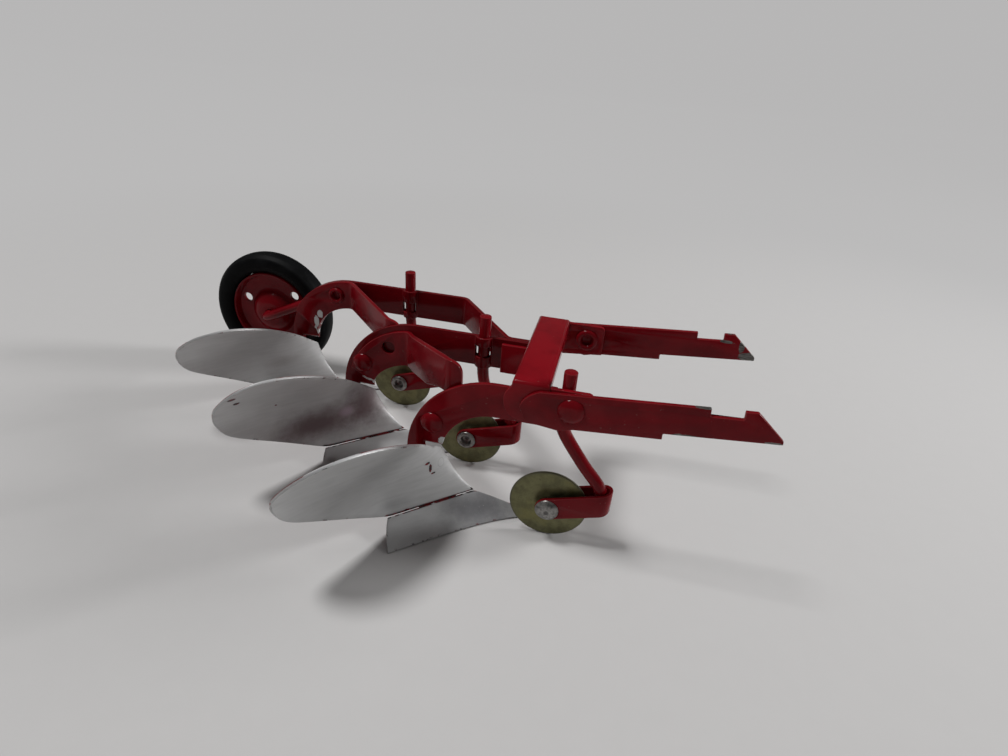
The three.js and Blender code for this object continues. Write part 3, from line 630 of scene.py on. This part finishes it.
class PLOUGH_OT_braces(bpy.types.Operator):
    """The two folded braces between the beams"""

    bl_idname = "plough.braces"
    bl_label = "Braces"

    def execute(self, context):
        for end, side in (("front", "middle"), ("rear", "left")):
            piece = pressed_copy(f"brace_{end}", f"Brace_{end}", context.scene.plough_shape.sheet_edge)
            material = red_enamel(f"Brace enamel {end}", spray=SPRAY[side])
            finish_piece(piece, "frame", [f"brace_{end}"], material)
        return {"FINISHED"}


class PLOUGH_OT_bracket(bpy.types.Operator):
    """The hitch bracket and the plate under it"""

    bl_idname = "plough.bracket"
    bl_label = "Bracket"

    def execute(self, context):
        # painted light: the bracket's enamel is made lighter, for the light falling on its top plate
        material = red_enamel("Bracket enamel", tone=1.18)
        shape = context.scene.plough_shape
        for node, name in (("hitch_bracket", "Hitch_bracket"), ("centre_plate", "Centre_plate")):
            piece = pressed_copy(node, name, shape.sheet_edge, shape.fold if node == "hitch_bracket" else 0)
            finish_piece(piece, "frame", [node], material)
        return {"FINISHED"}


class PLOUGH_OT_prongs(bpy.types.Operator):
    """The two hitch prongs, worn to the steel at their hooks and tips"""

    bl_idname = "plough.prongs"
    bl_label = "Prongs"

    def execute(self, context):
        right = [
            (place(29.5, -3.4, 44.0), (4.8, 3, 0.8), 0.5, 1.2),
            (place(48.6, -3.4, 46.2), (2.4, 3, 0.5), 0.5, 0.8),
            (place(41.9, -3.4, 54.6), (3.4, 3, 0.5), 0.4, 0.9),
            (place(29.0, -3.4, 52.9), (5.5, 3, 0.35), 0.5, 1.0),
        ]
        left = [
            (place(48.6, 41.9, 47.2), (3.0, 3, 1.5), 0.5, 1.0),
            (place(46.0, 41.9, 50.8), (0.9, 3, 2.6), 0.4, 0.9),
            (place(41.6, 41.9, 54.4), (3.4, 3, 0.8), 0.5, 1.0),
            (place(41.4, 41.9, 51.2), (2.0, 3, 0.5), 0.6, 0.8),
        ]
        for side, bare in (("right", right), ("left", left)):
            node = f"hitch_prong_{side}"
            piece = pressed_copy(node, f"Prong_{side}", context.scene.plough_shape.sheet_edge)
            finish_piece(piece, node, [node], red_enamel(f"Prong enamel {side}", bare=bare))
        return {"FINISHED"}


HEAD_HEIGHT = 1.3 * MM
RIM_HEIGHT = 0.9 * MM
HITCH_HOLLOW = 1.63 * MM  # radius of the hollow in a rivet's rolled end
NECK_HOLLOW = 1.36 * MM
AXLE_HOLLOW = 1.46 * MM
STEM_GAP = 0.06 * MM


def rivet(node, name, dome_towards, hole):
    """A rivet with a dome on one side, and on the other a rolled end with its hollow."""
    low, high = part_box(node)
    centre = (low + high) / 2
    head = (high.x - low.x) / 2
    half = (high.y - low.y) / 2
    rim = min(head, hole * 2.1)
    top = half - HEAD_HEIGHT
    end = half - RIM_HEIGHT
    profile = [
        (POLE, half),
        (head * 0.22, half - 0.01 * MM),
        (head * 0.45, half - HEAD_HEIGHT * 0.07),
        (head * 0.64, half - HEAD_HEIGHT * 0.2),
        (head * 0.8, half - HEAD_HEIGHT * 0.42),
        (head * 0.92, half - HEAD_HEIGHT * 0.68),
        (head * 0.985, half - HEAD_HEIGHT * 0.88),
        (head, half - HEAD_HEIGHT * 0.97),
        (head * 0.99, top),
        (hole * 1.45, top),
        (hole * 1.45, -end),
        (rim * 0.96, -end),
        (rim, -end - RIM_HEIGHT * 0.25),
        (rim * 0.97, -end - RIM_HEIGHT * 0.55),
        (rim * 0.87, -end - RIM_HEIGHT * 0.85),
        (rim * 0.76, -half),
        (rim * 0.65, -end - RIM_HEIGHT * 0.9),
        (rim * 0.56, -end - RIM_HEIGHT * 0.6),
        (hole, -end - RIM_HEIGHT * 0.1),
        (hole * 0.96, -end + 0.6 * MM),
        (hole * 0.8, -end + 0.8 * MM),
        (POLE, -end + 0.85 * MM),
    ]
    sign = -1 if dome_towards == "right" else 1
    piece = lathe(name, centre, [(r, sign * y) for r, y in profile], 48)
    smooth(piece, 48)
    return piece


class PLOUGH_OT_rivets(bpy.types.Operator):
    """The painted rivets of the hitch, the goosenecks and the tail axle"""

    bl_idname = "plough.rivets"
    bl_label = "Rivets"

    def execute(self, context):
        material = red_enamel("Rivet enamel")
        rows = (
            ("hitch_rivet_right", "right", HITCH_HOLLOW),
            ("hitch_rivet_left", "left", HITCH_HOLLOW),
            ("neck_rivet_right", "right", NECK_HOLLOW),
            ("neck_rivet_middle", "right", NECK_HOLLOW),
            ("axle_rivet", "left", NECK_HOLLOW),
        )
        for node, side, hole in rows:
            piece = rivet(node, node.capitalize(), side, hole)
            if node == "hitch_rivet_right":
                stem = NODES["coulter_stem_right"].data.vertices
                top = max(v.co.z for v in stem)
                end = [v.co for v in stem if v.co.z > top - MM]
                radius = (max(p.x for p in end) - min(p.x for p in end)) / 2 + STEM_GAP
                middle = (sum(p.x for p in end) / len(end), sum(p.y for p in end) / len(end), top)
                cut_round(piece, CUTTER_SIDES, radius, 40 * MM, middle)
                smooth(piece, 48)
            finish_piece(piece, "frame", [node], material)
        return {"FINISHED"}


MOLD_MARKS = {
    "right": [
        (place(-37.6, -3.0, 20.4), (0.75, 1.2, 0.5), 0.6, 0.6),
        (place(-37.0, -2.2, 18.2), (0.35, 1.0, 1.6), 0.5, 0.7),
        (place(-36.4, -1.3, 16.0), (0.7, 1.0, 0.35), 0.5, 0.6),
        (place(-42.4, -6.8, 5.4), (0.9, 0.9, 0.5), 0.5, 0.5),
    ],
    "middle": [
        (place(-90.9, -10.4, 35.2), (1.1, 1.2, 0.7), 0.5, 0.7),
        (place(-91.5, -8.1, 32.6), (1.0, 1.0, 0.5), 0.5, 0.7),
        (place(-86.0, 1.8, 27.4), (0.35, 0.4, 0.3), 0.3, 0.4),
    ],
    "left": [],
}

# Painted shade on the silver where the bottoms lie in shade, tinted red on the middle moldboard with a
# paler pink spot painted in it. Each patch is its centre, its half widths in millimetres, its colour and
# its strength.
SILVER_SHADE = {
    "moldboard_right": [(place(-44, -11, 9.0), (8, 8, 3.0), (0.30, 0.30, 0.31), 0.4)],
    "moldboard_middle": [
        (place(-79, 12.5, 14.5), (22, 22, 10), (0.13, 0.08, 0.085), 0.9),
        (place(-67, 24, 19), (12, 13, 15), (0.11, 0.065, 0.07), 0.9),
        (place(-73, 20, 17), (3.4, 3.8, 3.0), (0.42, 0.32, 0.38), 0.7),
    ],
    "moldboard_left": [(place(-109, 44.4, 15), (10, 9, 4), (0.30, 0.27, 0.265), 0.6)],
    "share_right": [(place(-22, 0.5, 4), (19, 15, 8), (0.15, 0.15, 0.16), 0.85)],
    "share_middle": [(place(-75, 11, 2), (3, 4, 3), (0.13, 0.10, 0.10), 0.6)],
    "share_left": [],
}


WELD = (place(-35.0, 1.6, 18.2), 1.35)  # its centre, and its radius in millimetres
JOINT_REACH = 1.1 * MM  # rim points this near the neighbour belong to the joint


def plate_copy(node, name, width, facing, neighbour):
    """A curved thin plate, smoothed between its rims.

    Its front, its rims and its joint with the neighbour are marked in attributes.
    """
    piece = copy_of(node, name)
    piece.data.materials.clear()
    with editing(piece, "EDGE"):
        flat = math.radians(60)
        bpy.ops.mesh.tris_convert_to_quads(face_threshold=flat, shape_threshold=flat)
        bpy.ops.mesh.select_all(action="DESELECT")
        bpy.ops.mesh.edges_select_sharp(sharpness=math.radians(48))
        bpy.ops.transform.edge_crease(value=1)
    modify(piece, "SUBSURF", levels=1, render_levels=1, boundary_smooth="PRESERVE_CORNERS")
    facing = Vector(facing).normalized()
    set_attribute(piece, "front", [float(v.normal.dot(facing) > 0) for v in piece.data.vertices])
    sharp = set()
    by_edge = {}
    for face in piece.data.polygons:
        for key in face.edge_keys:
            by_edge.setdefault(key, []).append(face.normal)
    for key, normals in by_edge.items():
        if len(normals) == 2 and normals[0].angle(normals[1], 0) > math.radians(45):
            sharp.update(key)
    others = NODES[neighbour].data.vertices
    tree = kdtree.KDTree(len(others))
    for index, other in enumerate(others):
        tree.insert(other.co, index)
    tree.balance()
    points = piece.data.vertices
    rim = [float(index in sharp) for index in range(len(points))]
    joint = [edge * (tree.find(v.co)[2] < JOINT_REACH) for edge, v in zip(rim, points)]
    set_attribute(piece, "rim", rim)
    set_attribute(piece, "joint", joint)
    round_edges(piece, width, angle=45)
    smooth(piece, 30)
    return piece


class PLOUGH_OT_bottoms(bpy.types.Operator):
    """Moldboards and shares with their silver fronts, and the frogs and landsides behind them"""

    bl_idname = "plough.bottoms"
    bl_label = "Bottoms"

    def execute(self, context):
        edge = context.scene.plough_shape.plate_edge
        hidden = red_enamel("Frog enamel", dull=0.15)
        for side in SIDES:
            plate, share_node = f"moldboard_{side}", f"share_{side}"
            weld = WELD if side == "right" else None
            name = f"Moldboard silver {side}"
            material = silver_paint(name, MOLD_MARKS[side], weld, shade_patches=SILVER_SHADE[plate])
            piece = plate_copy(plate, plate.capitalize(), edge, (0.85, -0.5, 0.1), share_node)
            finish_piece(piece, "frame", [plate], material)
            shade_patches = SILVER_SHADE[share_node]
            material = silver_paint(f"Share silver {side}", wear_amount=0.7, shade_patches=shade_patches)
            piece = plate_copy(share_node, share_node.capitalize(), edge, (0.6, -0.6, 0.6), plate)
            finish_piece(piece, "frame", [share_node], material)
            for node in (f"frog_{side}", f"landside_{side}"):
                piece = pressed_copy(node, node.capitalize(), edge)
                finish_piece(piece, "frame", [node], hidden)
        return {"FINISHED"}


class PLOUGH_OT_coulters(bpy.types.Operator):
    """The coulter stems and forks in enamel"""

    bl_idname = "plough.coulters"
    bl_label = "Coulter stems and forks"

    def execute(self, context):
        material = red_enamel("Coulter enamel")
        shape = context.scene.plough_shape
        for side in SIDES:
            piece = pressed_copy(f"coulter_stem_{side}", f"Coulter_stem_{side}", shape.rod_edge)
            finish_piece(piece, "frame", [f"coulter_stem_{side}"], material)
            piece = pressed_copy(f"coulter_fork_{side}", f"Coulter_fork_{side}", shape.sheet_edge)
            finish_piece(piece, "frame", [f"coulter_fork_{side}"], material)
        return {"FINISHED"}


def axle_radius(node, centre):
    return min(math.hypot(v.co.x - centre.x, v.co.z - centre.z) for v in NODES[node].data.vertices)


class PLOUGH_OT_discs(bpy.types.Operator):
    """The plated coulter discs and their rolled axles"""

    bl_idname = "plough.discs"
    bl_label = "Coulter discs"

    def execute(self, context):
        for side in SIDES:
            node = f"coulter_disc_{side}"
            low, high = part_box(node)
            centre = (low + high) / 2
            radius, half = (high.x - low.x) / 2, (high.y - low.y) / 2
            bore = axle_radius(node, centre)
            profile = [
                (bore, -half * 0.7),
                (bore + 0.2 * MM, -half),
                (radius * 0.55, -half),
                (radius - 0.5 * MM, -half),
                (radius - 0.2 * MM, -half * 0.85),
                (radius - 0.05 * MM, -half * 0.5),
                (radius, 0),
            ]
            profile += [(r, -y) for r, y in reversed(profile[:-1])]
            piece = lathe(f"Coulter_disc_{side}", centre, [*profile, profile[0]], 96)
            smooth(piece)
            plating = yellow_plate(f"Plating {side}", centre, radius)
            finish_piece(piece, node, [node], plating)
            node = f"coulter_axle_{side}"
            steel = rolled_steel(f"Rolled steel {side}", centre)
            towards = "right" if side == "right" else "left"
            piece = rivet(node, f"Coulter_axle_{side}", towards, AXLE_HOLLOW)
            finish_piece(piece, "frame", [node], steel)
        return {"FINISHED"}


TYRE_STEPS = 48
TYRE_SQUARENESS = 2 / 2.5  # 1 gives a round section, and less a squarer one
TYRE_GROOVE = 0.12 * MM  # a shallow ring along each shoulder
WHEEL_SKIN = 0.65 * MM  # half the disc's thickness
FIRST_HOLE = 39  # degrees


class PLOUGH_OT_tail_wheel(bpy.types.Operator):
    """The pressed tail wheel and its rubber tyre"""

    bl_idname = "plough.tail_wheel"
    bl_label = "Tail wheel"

    def execute(self, context):
        shape = context.scene.plough_shape
        low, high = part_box("tail_tyre")
        centre = (low + high) / 2
        outer, half = (high.z - low.z) / 2, (high.y - low.y) / 2
        seat = axle_radius("tail_tyre", centre)
        middle, rise = (outer + seat) / 2, (outer - seat) / 2
        section = []
        for step in range(TYRE_STEPS):
            angle = 2 * math.pi * step / TYRE_STEPS
            side, up = math.sin(angle), math.cos(angle)
            y = math.copysign(abs(side) ** TYRE_SQUARENESS, side) * half
            r = middle + math.copysign(abs(up) ** TYRE_SQUARENESS, up) * rise
            if up > 0.1 and 0.55 < abs(side) < 0.75:
                r -= TYRE_GROOVE
            section.append((r, y))
        piece = lathe("Tail_tyre", centre, [*section, section[0]], 128)
        smooth(piece, 60)
        finish_piece(piece, "tail_wheel", ["tail_tyre"], tyre_rubber("Tyre rubber"))

        low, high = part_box("tail_wheel")
        rim = (high.x - low.x) / 2
        bore = axle_radius("tail_wheel", centre)
        hub, depth, lip = shape.hub_radius, shape.hub_depth, shape.rim_lip
        back = high.y - centre.y
        front = centre.y - low.y
        flange = min(back, 0.7 * half)
        skin = WHEEL_SKIN
        profile = [
            (bore, -depth + 0.3 * MM),
            (bore + 0.25 * MM, -depth),
            (hub * 0.36, -depth + 0.02 * MM),
            (hub * 0.52, -depth * 0.97),
            (hub * 0.66, -depth * 0.88),
            (hub * 0.78, -depth * 0.74),
            (hub * 0.87, -depth * 0.56),
            (hub * 0.94, -depth * 0.37),
            (hub * 0.99, -depth * 0.22),
            (hub * 1.04, -skin - 0.08 * MM),
            (hub * 1.1, -skin),
            (rim - lip - 0.3 * MM, -skin),
            (rim - lip + 0.05 * MM, -skin - 0.15 * MM),
            (rim - lip * 0.82, -flange * 0.45),
            (rim - lip * 0.66, -flange * 0.8),
            (rim - lip * 0.5, -flange * 0.95),
            (rim - lip * 0.3, -flange),
            (rim - lip * 0.1, -flange * 0.97),
            (rim, -flange * 0.88),
            (rim, flange * 0.88),
            (rim - lip * 0.1, flange * 0.97),
            (rim - lip * 0.3, flange),
            (rim - lip * 0.5, flange * 0.95),
            (rim - lip * 0.66, flange * 0.8),
            (rim - lip * 0.82, flange * 0.45),
            (rim - lip + 0.05 * MM, skin + 0.15 * MM),
            (rim - lip - 0.3 * MM, skin),
            (bore + 0.25 * MM, skin),
            (bore, skin - 0.2 * MM),
        ]
        piece = lathe("Tail_wheel", centre, [*profile, profile[0]], 96)
        turns = [math.radians(FIRST_HOLE + 120 * k) for k in range(3)]
        ways = [(math.cos(turn), math.sin(turn)) for turn in turns]
        circle = shape.hole_circle
        spots = [(centre.x + circle * x, centre.z + circle * z) for x, z in ways]
        drill(piece, spots, shape.hole_radius, centre.y - front - MM, centre.y + back + MM)
        smooth(piece, 30)
        enamel = red_enamel("Wheel enamel", dull=0.03)
        finish_piece(piece, "tail_wheel", ["tail_wheel"], enamel)

        piece = pressed_copy("tail_axle", "Tail_axle", shape.rod_edge)
        finish_piece(piece, "frame", ["tail_axle"], red_enamel("Axle enamel"))
        return {"FINISHED"}


LENS = 21.07  # millimetres, on a 36 mm sensor
CAMERA_DEGREES = (9.99, 29.29, -4.507)  # yaw, pitch down and roll
CAMERA_PLACE = (4.586, -129.637, 123.963)
TABLE_SIZE = 6  # metres
WALL_HEIGHT = 3
SWEEP_RADIUS = 1.2
ROOM_LIGHT = 0.11  # what the room gives to the plough
ROOM_SEEN = 0.47  # how bright the room looks behind the table


class PLOUGH_OT_stage(bpy.types.Operator):
    """Camera, pale table and soft studio light"""

    bl_idname = "plough.stage"
    bl_label = "Stage"

    def execute(self, context):
        stage = context.scene.plough_stage
        self.camera(context)
        self.table(stage)
        self.lights(context, stage)
        return {"FINISHED"}

    def camera(self, context):
        camera = bpy.data.objects.new("Camera", bpy.data.cameras.new("Camera"))
        context.scene.collection.objects.link(camera)
        context.scene.camera = camera
        camera.data.sensor_width = 36
        camera.data.lens = LENS
        camera.data.clip_start, camera.data.clip_end = 0.01, 20
        yaw, pitch, roll = (math.radians(a) for a in CAMERA_DEGREES)
        flat = math.cos(pitch)
        ahead = Vector((-math.sin(yaw) * flat, math.cos(yaw) * flat, -math.sin(pitch)))
        level = Vector((math.cos(yaw), math.sin(yaw), 0))
        down = ahead.cross(level)
        right = math.cos(roll) * level + math.sin(roll) * down
        up = math.sin(roll) * level - math.cos(roll) * down
        turn = Matrix((right, up, -ahead)).transposed()
        camera.matrix_world = Matrix.Translation(place(*CAMERA_PLACE)) @ turn.to_4x4()

    def table(self, stage):
        deselect()
        bpy.ops.mesh.primitive_plane_add(size=TABLE_SIZE, location=(0, 0, 0))
        table = bpy.context.object
        table.name = "Table"
        with editing(table, "EDGE"):
            bpy.ops.mesh.select_all(action="DESELECT")
        points = table.data.vertices
        back = max(table.data.edges, key=lambda e: sum(points[v].co.y for v in e.vertices))
        back.select = True
        for vertex in back.vertices:
            points[vertex].select = True
        bpy.ops.object.mode_set(mode="EDIT")
        bpy.ops.mesh.extrude_region_move(TRANSFORM_OT_translate={"value": (0, 0, WALL_HEIGHT)})
        bpy.ops.object.mode_set(mode="OBJECT")
        with editing(table):
            bpy.ops.mesh.normals_make_consistent(inside=False)
        corner = math.radians(30)
        modify(
            table,
            "BEVEL",
            width=SWEEP_RADIUS,
            segments=24,
            limit_method="ANGLE",
            angle_limit=corner,
        )
        smooth(table, 40)
        finish = Finish("Table paper")
        paper = finish.noise(7, 4, 0.6)
        base = finish.mix(shade(stage.floor, 0.97), rgb(stage.floor), paper)
        finish.bump(finish.noise(0.8, 3), 0.03, 0.3)
        far = finish.length(finish.position).step(0.13, 0.5) * finish.node("ShaderNodeLightPath")
        base = finish.mix(base, BLACK, far)
        glow = finish.mix(BLACK, rgb(stage.backdrop), far)
        material = finish.set(
            Base_Color=base, Roughness=0.85, Emission_Color=glow, Emission_Strength=1.0
        )
        table.data.materials.append(material)

    def lights(self, context, stage):
        def lamp(name, power, size, towards, distance):
            light = bpy.data.lights.new(name, "AREA")
            light.shape = "DISK"
            light.size = size
            light.energy = power
            made = bpy.data.objects.new(name, light)
            context.scene.collection.objects.link(made)
            way = Vector(towards).normalized()
            turn = way.to_track_quat("Z", "Y").to_matrix().to_4x4()
            made.matrix_world = Matrix.Translation(way * distance) @ turn

        lamp("Key", stage.key, 0.4, (-0.36, -0.05, 0.93), 1.6)
        lamp("Fill", stage.fill, 0.22, (0.85, 0.33, 0.4), 1.0)
        world = bpy.data.worlds.new("Room")
        context.scene.world = world
        world.use_nodes = True
        background = world.node_tree.nodes["Background"]
        background.inputs["Color"].default_value = (1, 1, 1, 1)
        nodes, links = world.node_tree.nodes, world.node_tree.links
        seen = nodes.new("ShaderNodeLightPath")
        strength = nodes.new("ShaderNodeMapRange")
        strength.inputs["To Min"].default_value = ROOM_LIGHT
        strength.inputs["To Max"].default_value = ROOM_SEEN
        links.new(seen.outputs["Is Camera Ray"], strength.inputs["Value"])
        links.new(strength.outputs["Result"], background.inputs["Strength"])
        context.scene.view_settings.view_transform = "Standard"


# ---- Panel and registration ----

MAKERS = (
    PLOUGH_OT_stage,
    PLOUGH_OT_beams,
    PLOUGH_OT_braces,
    PLOUGH_OT_bracket,
    PLOUGH_OT_prongs,
    PLOUGH_OT_rivets,
    PLOUGH_OT_bottoms,
    PLOUGH_OT_coulters,
    PLOUGH_OT_discs,
    PLOUGH_OT_tail_wheel,
)


class PLOUGH_PT_panel(bpy.types.Panel):
    """Lists the plough's pieces"""

    bl_idname = "PLOUGH_PT_panel"
    bl_label = "Toy Plough"
    bl_space_type = "VIEW_3D"
    bl_region_type = "UI"
    bl_category = "Plough"

    def draw(self, context):
        for maker in MAKERS:
            self.layout.operator(maker.bl_idname)
        for group in GROUPS:
            for name in GROUPS[group].__annotations__:
                self.layout.prop(getattr(context.scene, group), name)


GROUPS = {
    "plough_paint": PaintSettings,
    "plough_wear": WearSettings,
    "plough_shape": ShapeSettings,
    "plough_stage": StageSettings,
}


def register():
    for group in GROUPS.values():
        bpy.utils.register_class(group)
    for name, group in GROUPS.items():
        setattr(bpy.types.Scene, name, bpy.props.PointerProperty(type=group))
    for cls in (*MAKERS, PLOUGH_PT_panel):
        bpy.utils.register_class(cls)


def unregister():
    for cls in reversed((*MAKERS, PLOUGH_PT_panel)):
        bpy.utils.unregister_class(cls)
    for name, group in GROUPS.items():
        delattr(bpy.types.Scene, name)
        bpy.utils.unregister_class(group)


def main():
    register()
    for maker in MAKERS:
        group, name = maker.bl_idname.split(".")
        getattr(getattr(bpy.ops, group), name)()


if __name__ == "__main__":
    main()
